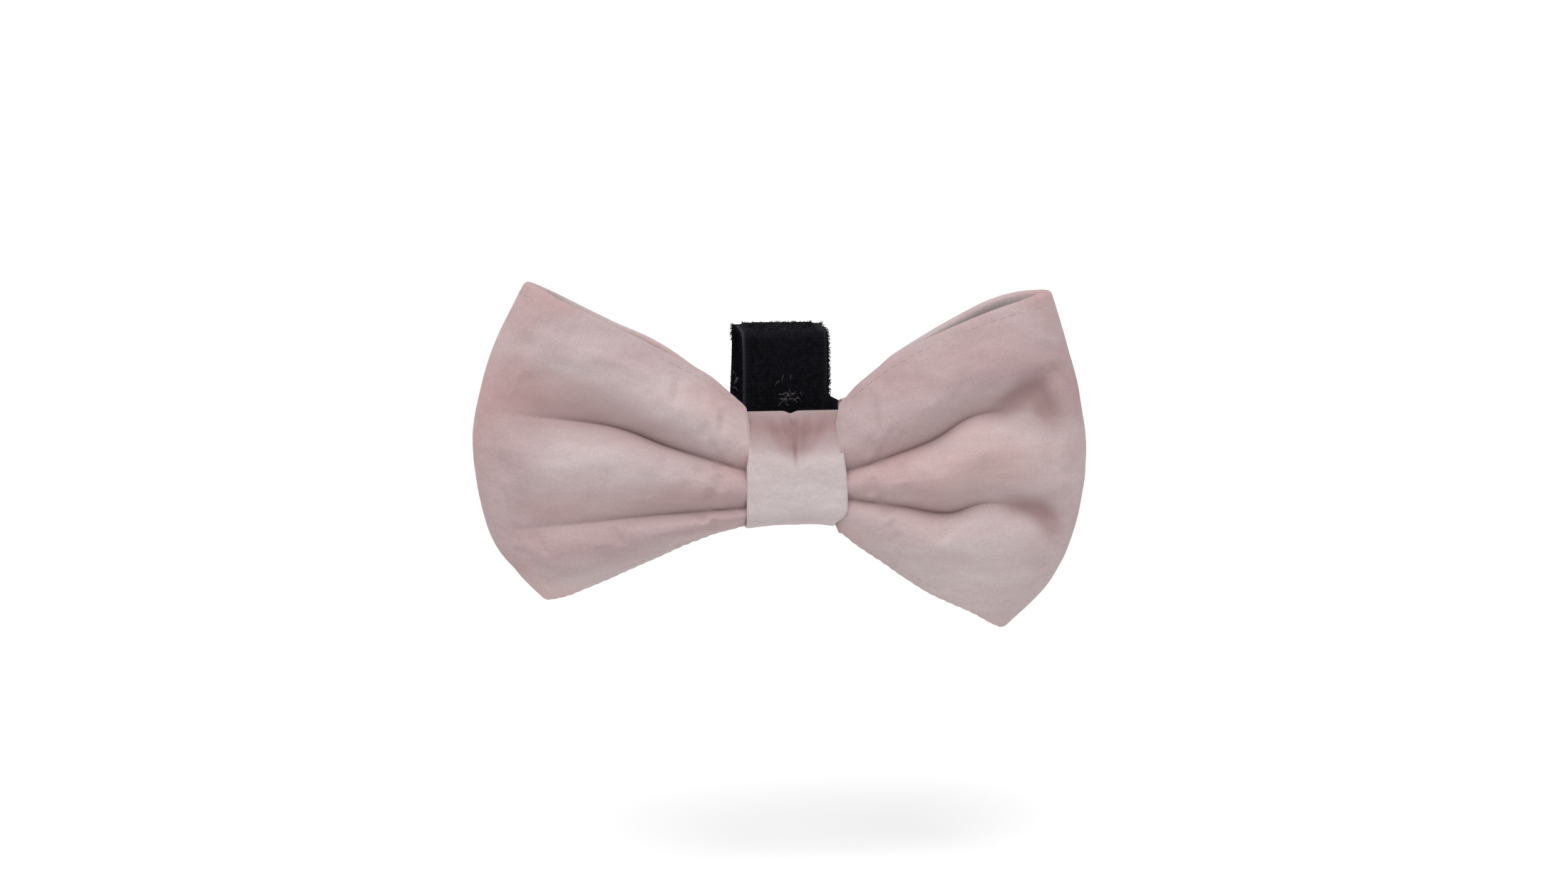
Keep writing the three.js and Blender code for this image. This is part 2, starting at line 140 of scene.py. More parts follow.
def turned_out(points, faces):
    """The faces, all turned round if they face into the closed surfaces that they make."""
    volume = 0.0
    for sides in (3, 4):
        polygons = np.array([f for f in faces if len(f) == sides])
        if len(polygons):
            a, b = points[polygons[:, 0]], points[polygons[:, 1]]
            for k in range(2, polygons.shape[1]):
                c = points[polygons[:, k]]
                volume += np.einsum("ij,ij->i", a, np.cross(b, c)).sum()
                b = c
    return faces if volume > 0 else [tuple(reversed(f)) for f in faces]


def make_object(name, points, faces, material, **tones):
    points = np.asarray(points)
    mesh = bpy.data.meshes.new(name)
    mesh.from_pydata(points.tolist(), [], turned_out(points, faces))
    mesh.polygons.foreach_set("use_smooth", [True] * len(mesh.polygons))
    mesh.materials.append(material)
    for key, tone in tones.items():
        mesh.attributes.new(key, "FLOAT", "POINT").data.foreach_set("value", tone.ravel().astype(np.float32))
    mesh.update()
    thing = bpy.data.objects.new(name, mesh)
    bpy.context.scene.collection.objects.link(thing)
    return thing


def normals_of(grid):
    return unit(np.cross(np.gradient(grid, axis=0), np.gradient(grid, axis=1)))


EDGE_TURNS = np.linspace(0, math.pi, 9)[1:-1]


def soft_strip(outer, inner):
    """Points and faces of a strip of cloth between two grids of points, whose rows run along it.

    Its long edges are rounded and its two ends are closed.
    """
    middle, half = (outer + inner) / 2, (outer - inner) / 2
    radius = np.linalg.norm(half, axis=-1)

    def edge(column, neighbour, turns):
        way = unit(outer[:, column] - outer[:, neighbour]) * radius[:, [column]]
        return np.stack(
            [middle[:, column] + math.cos(w) * half[:, column] + math.sin(w) * way for w in turns], 1
        )

    high = edge(-1, -2, EDGE_TURNS)
    low = edge(0, 1, EDGE_TURNS[::-1])
    ring = np.concatenate([outer, high, inner[:, ::-1], low], 1)
    rows, across = ring.shape[:2]
    index = np.arange(rows * across).reshape(rows, across)
    here, ahead = index[:-1], index[1:]
    quads = np.stack([here, ahead, np.roll(ahead, -1, 1), np.roll(here, -1, 1)], -1).reshape(-1, 4)
    ends = [tuple(index[0].tolist()), tuple(index[-1, ::-1].tolist())]
    return ring, [tuple(q) for q in quads.tolist()] + ends


def strands(paths, radius, sides=3):
    """One mesh of many thin strands: paths is an array [strand, point, xyz] in millimetres."""
    paths = np.asarray(paths, float)
    tangent = unit(np.gradient(paths, axis=1))
    helper = np.where(np.abs(tangent[..., 2:3]) < 0.9, [0, 0, 1.0], [1.0, 0, 0])
    a = unit(np.cross(tangent, helper))
    b = np.cross(tangent, a)
    count, steps = paths.shape[:2]
    ring = [
        paths + radius * (math.cos(w) * a + math.sin(w) * b)
        for w in np.arange(sides) * 2 * math.pi / sides
    ]
    points = np.stack(ring, 2).reshape(-1, 3)
    index = np.arange(count * steps * sides).reshape(count, steps, sides)
    here, ahead = index[:, :-1], index[:, 1:]
    quads = np.stack([here, np.roll(here, -1, 2), np.roll(ahead, -1, 2), ahead], -1).reshape(-1, 4)
    caps = np.concatenate([index[:, 0, ::-1], index[:, -1]])
    return points, [tuple(q) for q in quads.tolist()] + [tuple(c) for c in caps.tolist()]


# ---------------------------------------------------------------- materials


class Nodes:
    """A short way to write a node material."""

    def __init__(self, name):
        self.material = bpy.data.materials.new(name)
        self.material.use_nodes = True
        self.tree = self.material.node_tree
        self.shader = self.tree.nodes["Principled BSDF"]

    def add(self, kind, inputs=(), **settings):
        node = self.tree.nodes.new(kind)
        for key, value in settings.items():
            setattr(node, key, value)
        for key, value in dict(inputs).items():
            self.put(node.inputs[key], value)
        return node

    def put(self, socket, value):
        if isinstance(value, bpy.types.NodeSocket):
            self.tree.links.new(value, socket)
        else:
            socket.default_value = value

    def set(self, **inputs):
        for key, value in inputs.items():
            self.put(self.shader.inputs[key.replace("_", " ")], value)

    def noise(self, scale, detail=2.0, roughness=0.5, vector=None):
        node = self.add("ShaderNodeTexNoise", {"Scale": scale, "Detail": detail, "Roughness": roughness})
        self.put(node.inputs["Vector"], vector or self.place())
        return node.outputs["Fac"]

    def place(self):
        return self.add("ShaderNodeTexCoord").outputs["Object"]

    def ramp(self, factor, stops):
        node = self.add("ShaderNodeValToRGB", {"Fac": factor})
        while len(node.color_ramp.elements) < len(stops):
            node.color_ramp.elements.new(0.5)
        for element, (position, colour) in zip(node.color_ramp.elements, stops):
            element.position = position
            element.color = colour
        return node.outputs["Color"]

    def mix(self, factor, a, b, blend="MIX"):
        node = self.add("ShaderNodeMix", data_type="RGBA", blend_type=blend)
        for index, value in ((0, factor), (6, a), (7, b)):
            self.put(node.inputs[index], value)
        return node.outputs[2]

    def maths(self, operation, *values):
        node = self.add("ShaderNodeMath", operation=operation)
        for index, value in enumerate(values):
            self.put(node.inputs[index], value)
        return node.outputs[0]

    def attribute(self, name):
        return self.add("ShaderNodeAttribute", attribute_name=name).outputs["Fac"]

    def bump(self, height, strength, distance):
        node = self.add("ShaderNodeBump", {"Height": height, "Strength": strength, "Distance": distance})
        self.set(Normal=node.outputs["Normal"])


def linear(channel):
    """A channel of an sRGB colour, out of 255, as a linear value."""
    if channel > 10:
        return ((channel / 255 + 0.055) / 1.055) ** 2.4
    return channel / 255 / 12.92


def rgb(red, green, blue):
    """A linear colour from an sRGB one, out of 255."""
    return (linear(red), linear(green), linear(blue), 1)


def velvet(name, grey, rose, mauve, fold, sheen=0.2):
    """Short-pile velvet: streaks along its pile, a fine pile grain and folds darkened with painted shade.

    The mesh's shade says how deep each point lies in a fold, which sets how much painted shade it gets. A
    second attribute gives painted light and shade for the way the pile lies to the light, from pale at 0 to
    rosy and darker at 1.
    """
    m = Nodes(name)
    drawn = m.add("ShaderNodeMapping", {"Vector": m.place(), "Scale": (0.45, 1, 1)}).outputs["Vector"]
    patches = m.ramp(m.noise(52, 2, 0.5, drawn), [(0.34, rose), (0.52, grey), (0.72, mauve)])
    streaks = m.add("ShaderNodeMapping", {"Vector": m.place(), "Scale": (0.25, 1, 1)}).outputs["Vector"]
    nap = m.ramp(m.noise(420, 3, 0.6, streaks), [(0.3, rgb(244, 241, 241)), (0.7, rgb(255, 255, 255))])
    pile = m.ramp(m.noise(2800, 2, 0.7), [(0.3, rgb(240, 238, 238)), (0.7, rgb(255, 255, 255))])
    colour = m.mix(1.0, m.mix(1.0, patches, nap, "MULTIPLY"), pile, "MULTIPLY")
    # painted light and shade: the pile attribute lightens the colour at 0 and darkens it, rosier, at 1
    painted_light_and_shade = m.mix(m.attribute("nap"), (1.1, 1.16, 1.16, 1), (0.88, 0.82, 0.83, 1))
    colour = m.mix(1.0, colour, painted_light_and_shade, "MULTIPLY")
    # painted shade: the shade attribute mixes the darker fold colour into the folds
    m.set(Base_Color=m.mix(m.attribute("shade"), colour, fold), Roughness=0.95, Specular_IOR_Level=0.1)
    m.set(Sheen_Weight=sheen, Sheen_Roughness=0.5, Sheen_Tint=rgb(240, 222, 220))
    m.bump(m.maths("ADD", m.noise(2800, 2, 0.7), m.noise(520, 2, 0.5)), 0.22, 0.00015)
    return m.material


def tape_black():
    """The woven ground of the tape: fine ribs across it, in a blue-black nylon, greyer where a painted
    highlight lies along its selvedges.
    """
    m = Nodes("tape_ground")
    ground = m.ramp(m.noise(900, 2, 0.6), [(0.3, rgb(9, 9, 12)), (0.75, rgb(17, 17, 23))])
    # painted highlight: a paler grey along the selvedges, where the light catches their edges
    colour = m.mix(m.attribute("worn"), ground, rgb(48, 48, 54))
    m.set(Base_Color=colour, Roughness=0.8, Specular_IOR_Level=0.06)
    m.set(Sheen_Weight=0.03, Sheen_Roughness=0.5, Sheen_Tint=rgb(120, 125, 160))
    weave = []
    for scale, distortion, way in ((420, 1.2, "Z"), (520, 0.8, "X")):
        look = {"Vector": m.place(), "Scale": scale, "Distortion": distortion, "Detail": 1}
        weave.append(m.add("ShaderNodeTexWave", look, bands_direction=way).outputs["Fac"])
    m.bump(m.maths("MULTIPLY", *weave), 0.6, 0.0001)
    return m.material


def plain(name, colour, roughness, sheen=0.0, tint=(1, 1, 1, 1), spread=0.15, gloss=0.1):
    """A thread or nylon whose colour wanders a little."""
    m = Nodes(name)
    dark = tuple(c * (1 - spread) for c in colour[:3]) + (1,)
    light = tuple(min(c * (1 + spread), 1) for c in colour[:3]) + (1,)
    m.set(Base_Color=m.ramp(m.noise(1500, 1, 0.5), [(0.3, dark), (0.7, light)]), Roughness=roughness)
    m.set(Sheen_Weight=sheen, Sheen_Roughness=0.4, Sheen_Tint=tint, Specular_IOR_Level=gloss)
    return m.material


# The last colour of each velvet is its fold colour: painted shade that the shade attribute mixes into the
# folds.
BAND_VELVET = velvet(
    "band_velvet", rgb(177, 163, 163), rgb(178, 155, 154), rgb(169, 148, 149), rgb(138, 112, 111)
)
WRAP_VELVET = velvet(
    "wrap_velvet", rgb(184, 175, 175), rgb(184, 172, 172), rgb(181, 171, 173), rgb(126, 100, 100)
)
TAPE_GROUND = tape_black()
LOOPS = plain("loop_pile", rgb(10, 10, 15), 0.8, 0.03, rgb(140, 145, 190), 0.3, gloss=0.05)
HOOKS = plain("hook_nylon", rgb(24, 24, 28), 0.35, gloss=0.5)
LINT = plain("lint", rgb(112, 108, 112), 0.8, 0.0, (1, 1, 1, 1), 0.5)
PINK_THREAD = plain("pink_thread", rgb(190, 172, 171), 0.6, 0.3)
BLACK_THREAD = plain("black_thread", rgb(16, 16, 20), 0.5, 0.2)


# ---------------------------------------------------------------- the bow's band

# The band's long edges and its pleat lines are ribs that run from the knot out to the end fold, each drawn
# through points [distance out from the knot's middle, height]. meets says where they cut the end fold's
# line, as shares of its length. depths lists how far the padded band stands out from its middle, from the
# knot to the end. Each pleat lists, over the same run, how deep it is, how far it reaches above and below
# its line, and how sharp it is from 0 to 1. Each dent is [out, up, long radius, short radius, tilt in
# degrees, depth]. The last three lists give the painted light and shade of the pile, from pale to rosy and
# darker, from the bottom edge to the top, and how much more painted shade lies by the knot and at the end
# fold.
FRONT, BACK = -1, 1
KNOT_EDGE = 9.3
BACK_PLEATS = [
    {"depth": depth, "above": [4] * 6, "below": [3] * 6, "sharp": [1, 0.9, 0.6, 0.3, 0, 0]}
    for depth in ([1.8, 2.4, 2.2, 1.4, 0.6, 0], [1.8, 2.6, 2.4, 1.4, 0.6, 0])
]
LEFT = {
    "out": -1,
    "end": [[48.5, -25], [53.8, -19.7], [58.1, -13.4], [61, -2], [61.3, 9], [57.8, 23.1], [51.8, 35.8]],
    "meets": [0, 0.26, 0.62, 1],
    FRONT: {
        "ribs": [
            [[KNOT_EDGE, -11], [16, -12.6], [23.9, -15.5], [36, -20.6]],
            [[KNOT_EDGE, -7.2], [24.2, -7.7], [40, -9]],
            [[KNOT_EDGE, -0.2], [24.2, 5], [37, 9.6]],
            [[KNOT_EDGE, 11.4], [16, 17.4], [23.7, 21.8], [35, 27.6]],
        ],
        "depths": [6.6, 8.8, 9.8, 9.6, 8.6, 7],
        "pleats": [
            {
                "depth": [1.2, 2.2, 2.6, 2.4, 2.1, 0],
                "above": [3.6, 5, 7, 8, 8, 8],
                "below": [1.3, 1.6, 2, 2.4, 2.2, 2.2],
                "sharp": [1, 1, 1, 0.9, 0.7, 0],
            },
            {
                "depth": [1.2, 3, 4.6, 4.4, 2.8, 0],
                "above": [3.4, 4, 4.6, 5.4, 6, 6],
                "below": [1.4, 1.6, 1.8, 2.8, 4, 5],
                "sharp": [1, 1, 0.9, 0.6, 0.6, 0],
            },
        ],
        "dents": [[41, 16, 14, 6, -8, 0.8], [57, 2, 5, 3, 60, 0.5]],
        "nap": [0.25, 0.85, 1, 0.35, 0.5, 0.1, 0.85],
        "end_nap": [-0.1, 0.4, 1, 0.4],
        "knot_nap": [0.5, 0.6, 0.4, 0.1],
    },
    BACK: {
        "ribs": [
            [[KNOT_EDGE, -10.8], [24, -14.6], [36, -19.6]],
            [[KNOT_EDGE, -4.5], [24, -4], [40, -5]],
            [[KNOT_EDGE, 2.5], [24, 6.5], [38, 12.5]],
            [[KNOT_EDGE, 10.8], [24, 21.8], [36, 27.8]],
        ],
        "depths": [5.4, 7.2, 8, 7.8, 7.2, 6.2],
        "pleats": BACK_PLEATS,
        "dents": [[44, 4, 9, 5, 20, 0.8]],
        "nap": [0.4, 0.2, 0.4, 0.2, 0.4],
        "end_nap": [0.3, 0.3],
        "knot_nap": [0.4, 0.4],
    },
}
RIGHT = {
    "out": 1,
    "end": [[42.2, -33], [51.1, -24], [56.4, -11.2], [57.6, 4], [54.8, 18.5], [50.6, 32.4]],
    "meets": [0, 0.34, 0.64, 1],
    FRONT: {
        "ribs": [
            [[KNOT_EDGE, -12.8], [12, -15], [15.6, -17.5], [25, -24.1], [35, -28.9]],
            [[KNOT_EDGE, -5.8], [20.7, -7.5], [29.5, -8.9], [39, -7.4]],
            [[KNOT_EDGE, -0.8], [25.5, 5], [37, 10.4]],
            [[KNOT_EDGE, 12.4], [12.8, 16], [21.4, 22.1], [38, 29.1]],
        ],
        "depths": [6.6, 8.6, 9.8, 9.8, 8.8, 7],
        "pleats": [
            {
                "depth": [1, 2.1, 3.9, 3, 1.6, 0],
                "above": [3, 3.6, 4, 5, 5, 5],
                "below": [1.4, 1.6, 1.8, 2.6, 3.4, 4],
                "sharp": [1, 1, 0.9, 0.6, 0.3, 0],
            },
            {
                "depth": [1.1, 2.6, 3.9, 3.7, 2, 0],
                "above": [3, 3.6, 4.2, 5, 5.4, 5],
                "below": [1.4, 1.6, 1.8, 2.4, 3.6, 4],
                "sharp": [1, 1, 0.9, 0.5, 0.1, 0],
            },
        ],
        "dents": [
            [44.5, 14, 6, 2.2, 28, 2.4],
            [48.8, 11.2, 4.8, 2.4, -60, 2.4],
            [45.5, -8.4, 5, 1.9, -18, 1.8],
            [49.8, -12.2, 4.5, 2.1, -62, 1.7],
        ],
        "nap": [0.4, 0.25, 0.5, 0.35, 0.45, 0.9, 1],
        "end_nap": [0.2, 0.2, 0.4, 0.9],
        "knot_nap": [0.3, 0.5, 0.6, 0.1],
    },
    BACK: {
        "ribs": [
            [[KNOT_EDGE, -12.2], [25, -23.2], [35, -28.9]],
            [[KNOT_EDGE, -4.5], [24, -6], [38, -7]],
            [[KNOT_EDGE, 2.5], [24, 6.5], [37, 10.5]],
            [[KNOT_EDGE, 8.6], [15, 14.8], [22.5, 21], [39.2, 29.9]],
        ],
        "depths": [5.4, 7.2, 8, 7.8, 7.2, 6.2],
        "pleats": BACK_PLEATS,
        "dents": [[42, -8, 9, 5, -15, 0.8]],
        "nap": [0.4, 0.2, 0.4, 0.2, 0.4],
        "end_nap": [0.3, 0.3],
        "knot_nap": [0.4, 0.4],
    },
}
RIBS = 4
MIDDLE_Y = -11.5
MIDDLE_Z = -0.9
BAND_THICKNESS = 2.2
TIP_RADIUS = 2.7
TIP_READ = 0.8  # the share of a lobe's rows at which its depth sets how far the end fold's round reaches
EDGE_SHARE = {FRONT: 0.29, BACK: 0.62}  # how deep the band is at its long edges, of its full depth
LEAST_DEPTH = 2.65
PUFF = [1.2, 1.4, 1.1, 0.6, 0.2, 0]  # how far each puff swells, from the knot to the end
HANG, HANG_AT, HANG_REACH = 0.17, 1.2, 1.2  # how a puff droops over the pleat below it
KNOT_PAINTED_SHADE_RUN = 0.55  # how far the painted shade by the knot reaches, in shares of a lobe, as are the next two
END_PAINTED_SHADE_FROM, END_PAINTED_SHADE_RUN = 0.68, 0.25
DENT_PAINTED_SHADE, DENT_SHADE = 0.25, 1.7  # how much painted shade a dent adds on the pile, and how much painted fold shade beside a pleat as deep
DARKEST_DEPTH = 5  # a fold this deep has its full painted shade

# The squeeze of the wrap on the band: how far out it holds in full, and over what run it then lets go.
# Both are listed for the left, -1, and the right, 1, from the band's bottom edge to its top.
SQUEEZED = {"height": 0.58, "depth": 0.84}
SQUEEZE_FROM = {-1: [8.6, 8.7, 8.6, 8.3], 1: [6.3, 8.7, 8.3, 7.7]}
SQUEEZE_RUN = {-1: [0.9, 0.9, 0.9, 0.9], 1: [2.6, 0.9, 0.9, 0.9]}


def prepare(side):
    end = smooth_line(side["end"])
    corners = along(end, np.array(side["meets"], float))
    ribs = {
        layer: [smooth_line([*points, corners[i]]) for i, points in enumerate(side[layer]["ribs"])]
        for layer in (FRONT, BACK)
    }
    return {**side, "end_line": end, "corners": corners, "rib_lines": ribs}


def lobe_plane(side, layer, s, v):
    """The lobe in the plane, for shares s from the knot to the end and v from the bottom rib to the top."""
    ribs = np.stack([along(rib, s) for rib in side["rib_lines"][layer]])
    i = np.clip(v.astype(int), 0, RIBS - 2)
    f = (v - i)[:, None]
    plane = mix(ribs[i], ribs[i + 1], f[:, None])
    meets = np.array(side["meets"])
    end = along(side["end_line"], mix(meets[i], meets[i + 1], v - i))
    bulge = end - mix(side["corners"][i], side["corners"][i + 1], f)
    return np.swapaxes(plane + bulge[:, None] * (s**3)[None, :, None], 0, 1)


def pleat(q, form, s):
    """How far a pleat draws the band in, q millimetres above its line."""
    keys = ("depth", "above", "below", "sharp")
    depth, above, below, sharp = (level(form[key], s)[:, None] for key in keys)
    reach = np.abs(q) / np.where(q > 0, above, below)
    sharp = np.clip(sharp, 0, 1)
    return np.maximum(depth, 0) * (sharp * np.exp(-reach) + (1 - sharp) * np.exp(-(0.8 * reach) ** 2))


def dent(plane, out, up, long_radius, short_radius, tilt, depth):
    turn = math.radians(tilt)
    x, z = plane[..., 0] - out, plane[..., 1] - up
    run = (x * math.cos(turn) + z * math.sin(turn)) / long_radius
    side = (z * math.cos(turn) - x * math.sin(turn)) / short_radius
    return depth * np.exp(-(run**2) - side**2)


def lobe(side, layer, s, v, fold, hang):
    """A lobe's front or back, with its painted shade in folds and on the pile. fold 0 leaves out its pleats,
    hang 0 their droop.
    """
    form = side[layer]
    plane = lobe_plane(side, layer, s, v)
    crown = 1 - np.abs(2 * v / (RIBS - 1) - 1) ** 3
    full = mix(TIP_RADIUS, level(form["depths"], s)[:, None], mix(EDGE_SHARE[layer], 1, crown)[None])
    to_end = np.linalg.norm(plane[-1] - plane, axis=-1)
    tip_run = full[int(TIP_READ * len(s))] ** 2 / TIP_RADIUS
    tip = np.sqrt(1 - (1 - np.clip(to_end / tip_run, 0, 1)) ** 2)
    full = full + level(PUFF, s)[:, None] * np.sin(math.pi * (v % 1))[None] * (fold * crown)[None]
    sunk = np.zeros_like(full)
    slip = np.zeros_like(full)
    for i, pleat_form in enumerate(form["pleats"]):
        line = plane[:, [np.argmin(np.abs(v - (i + 1)))]]
        q = np.linalg.norm(plane - line, axis=-1) * np.sign(v - (i + 1))[None]
        sunk += fold * pleat(q, pleat_form, s)
        pleat_depth = np.maximum(level(pleat_form["depth"], s), 0)[:, None]
        droop = HANG * hang * pleat_depth * np.exp(-(((q - HANG_AT) / HANG_REACH) ** 2))
        slip += droop * (layer == FRONT)
    # painted light and shade on the pile: paler or rosier along the band, rosier by the knot, at the end fold
    # and in dents
    keys = ("nap", "knot_nap", "end_nap")
    nap, knot_nap, end_nap = (level(form[key], v / (RIBS - 1))[None] for key in keys)
    by_knot = (1 - rise(s, 0, KNOT_PAINTED_SHADE_RUN))[:, None]
    by_end = rise(s, END_PAINTED_SHADE_FROM, END_PAINTED_SHADE_RUN)[:, None]
    nap = nap + knot_nap * by_knot + end_nap * by_end
    dented = fold * sum(dent(plane, *shape) for shape in form["dents"])
    nap = nap + DENT_PAINTED_SHADE * dented
    # painted shade: how deep a point lies in a pleat or dent sets how much darker fold colour it gets
    deep = np.clip((sunk + DENT_SHADE * dented) / DARKEST_DEPTH, 0, 1)
    sunk += dented
    depth = np.maximum(full - sunk, LEAST_DEPTH) * tip
    x, z = plane[..., 0], plane[..., 1] - slip
    return squeeze(side["out"] * x, z, layer * depth, v), deep, np.clip(nap, 0, 1)


def squeeze(x, z, depth, v):
    """Draws the band in under the wrap."""
    start, run = (
        np.where(x < 0, *(level(listed[way], v / (RIBS - 1)) for way in (-1, 1)))
        for listed in (SQUEEZE_FROM, SQUEEZE_RUN)
    )
    free = rise(np.abs(x), start, run)
    return np.stack(
        [
            x,
            MIDDLE_Y + depth * mix(SQUEEZED["depth"], 1, free),
            MIDDLE_Z + (z - MIDDLE_Z) * mix(SQUEEZED["height"], 1, free),
        ],
        -1,
    )


def neck(sides, layer, x, v, fold):
    """The band under the wrap, at distances x."""
    t = ((x + KNOT_EDGE) / (2 * KNOT_EDGE))[:, None]
    at_knot = np.array([0.0])
    z = mix(*(lobe_plane(side, layer, at_knot, v)[:, :, 1] for side in sides), t)
    depths = []
    for side in sides:
        points, _, _ = lobe(side, layer, np.linspace(0, 1, 11), v, fold, 0)
        depths.append(np.abs(points[0, :, 1] - MIDDLE_Y)[None] / SQUEEZED["depth"])
    depth = mix(*depths, t)
    # Under the wrap the band gets an even painted shade, and painted light and shade of the pile halfway
    # between pale and rosy.
    return squeeze(x[:, None] + 0 * z, z, layer * depth, v), np.full(z.shape, 0.6), np.full(z.shape, 0.5)


LOBE_ROWS = 150
NECK_ROWS = 12
ACROSS = 120
END_SLIT = 0.3  # how far from the middle each of the band's two ends stops behind the knot
ACROSS_BAND = np.linspace(0, RIBS - 1, ACROSS + 1)


def band_grid(fold, hang):
    """The whole band with its painted shade in folds and on the pile, from one end round the left lobe, the
    front and the right.
    """
    sides = [prepare(LEFT), prepare(RIGHT)]
    s = np.sin(np.linspace(0, math.pi / 2, LOBE_ROWS)) * 0.55 + np.linspace(0, 1, LOBE_ROWS) * 0.45
    v = ACROSS_BAND
    under = np.linspace(END_SLIT, KNOT_EDGE, NECK_ROWS)[:-1]
    across_front = np.linspace(-KNOT_EDGE, KNOT_EDGE, 2 * NECK_ROWS)[1:-1]
    left_back, left_front = (lobe(sides[0], layer, s, v, fold, hang) for layer in (BACK, FRONT))
    right_front, right_back = (lobe(sides[1], layer, s, v, fold, hang) for layer in (FRONT, BACK))
    parts = [
        neck(sides, BACK, -under, v, fold),
        left_back,
        [a[::-1][1:] for a in left_front],
        neck(sides, FRONT, across_front, v, fold),
        right_front,
        [a[::-1][1:] for a in right_back],
        neck(sides, BACK, under[::-1], v, fold),
    ]
    return [np.concatenate([part[k] for part in parts]) for k in range(3)]


SIM_STEP = 4  # the cloth is simulated on every fourth row and column of the band
SIM_SCALE = 0.01  # metres for each millimetre: ten times life size, where the solver is steady
SIM_FRAMES = 18
SIM_CAP = 1.1  # the furthest that any point may move, in millimetres
HOLD, LEAST_HOLD = 0.9, 0.02  # how firmly folds and pleats are held, and every other point at least


def relax(grid, shade):
    """How far each point of the band's face moves, in millimetres, when its cloth settles over the padding.

    The face is cut a little larger than the padding that pushes it out. It is held under the wrap, along
    its seams, in its pleats and at the end folds, and finds its own slack between them.
    """
    rows = np.r_[0 : grid.shape[0] - 1 : SIM_STEP, grid.shape[0] - 1]
    columns = np.r_[0 : grid.shape[1] : SIM_STEP]
    coarse = grid[np.ix_(rows, columns)]
    index = np.arange(coarse.shape[0] * coarse.shape[1]).reshape(coarse.shape[:2])
    quads = np.stack([index[:-1, :-1], index[1:, :-1], index[1:, 1:], index[:-1, 1:]], -1).reshape(-1, 4)
    mesh = bpy.data.meshes.new("cloth")
    mesh.from_pydata((coarse.reshape(-1, 3) * SIM_SCALE).tolist(), [], quads.tolist())
    cloth = bpy.data.objects.new("cloth", mesh)
    bpy.context.scene.collection.objects.link(cloth)
    out, depth = np.abs(coarse[..., 0]), np.abs(coarse[..., 1] - MIDDLE_Y)
    under_wrap = 1 - rise(out, KNOT_EDGE, 8)
    v = ACROSS_BAND[columns]
    seams = 1 - rise(np.minimum(v, RIBS - 1 - v), 0, 0.4)[None]
    end_folds = HOLD * ease((5.5 - depth) / 2.5) * (out > 30)
    pleats = HOLD * rise(shade[np.ix_(rows, columns)], 0, 0.6)
    held = np.max(np.broadcast_arrays(under_wrap, seams, end_folds, pleats), axis=0).ravel()
    group = cloth.vertex_groups.new(name="held")
    for i, weight in enumerate(np.maximum(held, LEAST_HOLD)):
        group.add([i], float(weight), "REPLACE")
    settings = cloth.modifiers.new("Cloth", "CLOTH").settings
    settings.quality = 8
    settings.mass = 0.2
    settings.tension_stiffness = settings.compression_stiffness = 12
    settings.shear_stiffness = 6
    settings.bending_stiffness = 6
    settings.shrink_min = -0.015
    settings.vertex_group_mass = "held"
    settings.pin_stiffness = 4
    settings.use_pressure = True
    settings.uniform_pressure_force = 0.6
    settings.effector_weights.gravity = 0
    scene = bpy.context.scene
    for number in range(1, SIM_FRAMES + 1):
        scene.frame_set(number)
    settled = cloth.evaluated_get(bpy.context.evaluated_depsgraph_get()).data
    moved = np.empty(coarse.size, np.float32)
    settled.vertices.foreach_get("co", moved)
    shift = moved.reshape(coarse.shape) / SIM_SCALE - coarse
    scene.frame_set(1)
    bpy.data.objects.remove(cloth)
    bpy.data.meshes.remove(mesh)
    far = np.linalg.norm(shift, axis=-1, keepdims=True)
    shift *= SIM_CAP * np.tanh(far / SIM_CAP) / np.maximum(far, 1e-9)
    flat = shift.reshape(len(rows), -1)
    down = np.stack([np.interp(np.arange(grid.shape[0]), rows, a) for a in flat.T], 1)
    down = down.reshape(grid.shape[0], len(columns), 3)
    return np.stack(
        [[np.interp(np.arange(grid.shape[1]), columns, a) for a in row.T] for row in down]
    ).swapaxes(1, 2)


def band_surface():
    """The band's settled face, the way out from it, its painted fold shade and its painted pile shade."""
    grid, shade, nap = band_grid(1, 1)
    shift = relax(grid, shade)
    return grid + shift, shift, normals_of(band_grid(0, 0)[0]), shade, nap


STITCH_PITCH = 1.9


def make_band(grid, shift, outward, shade, nap):
    swell = 0.3 * rough(grid, 11, 1) + 0.1 * rough(grid, 4, 2)
    v = ACROSS_BAND
    seam = np.exp(-((np.minimum(v, RIBS - 1 - v) / 0.07) ** 2))
    run = np.cumsum(np.linalg.norm(np.diff(grid, axis=0, prepend=grid[:1]), axis=-1), axis=0)
    puckers = np.sin(run * 2 * math.pi / STITCH_PITCH) * (1 + rough(grid, 5, 7))
    swell = swell + 0.02 * seam * puckers
    outer = grid + outward * swell[..., None]
    inner = band_grid(1, 0)[0] + shift + outward * (swell[..., None] - BAND_THICKNESS)
    ring, faces = soft_strip(outer, inner)
    # Painted shade in the folds and painted light and shade on the pile go on the face; the inner face keeps
    # 0, the palest painted light, and the rounded edges take the face's nearest pile values but no fold
    # shade.
    tone, painted_light_and_shade = np.zeros(ring.shape[:2]), np.zeros(ring.shape[:2])
    tone[:, : v.size] = 0.75 * shade**1.4
    painted_light_and_shade[:, : v.size] = nap
    painted_light_and_shade[:, v.size : v.size + len(EDGE_TURNS)] = nap[:, [-1]]
    painted_light_and_shade[:, -len(EDGE_TURNS) :] = nap[:, [0]]
    band = make_object("bow_band", place(ring.reshape(-1, 3)), faces, BAND_VELVET, shade=tone, nap=painted_light_and_shade)
    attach(band, "bow")
    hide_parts("band_face_velvet", "band_fleece", "band_lining_velvet")


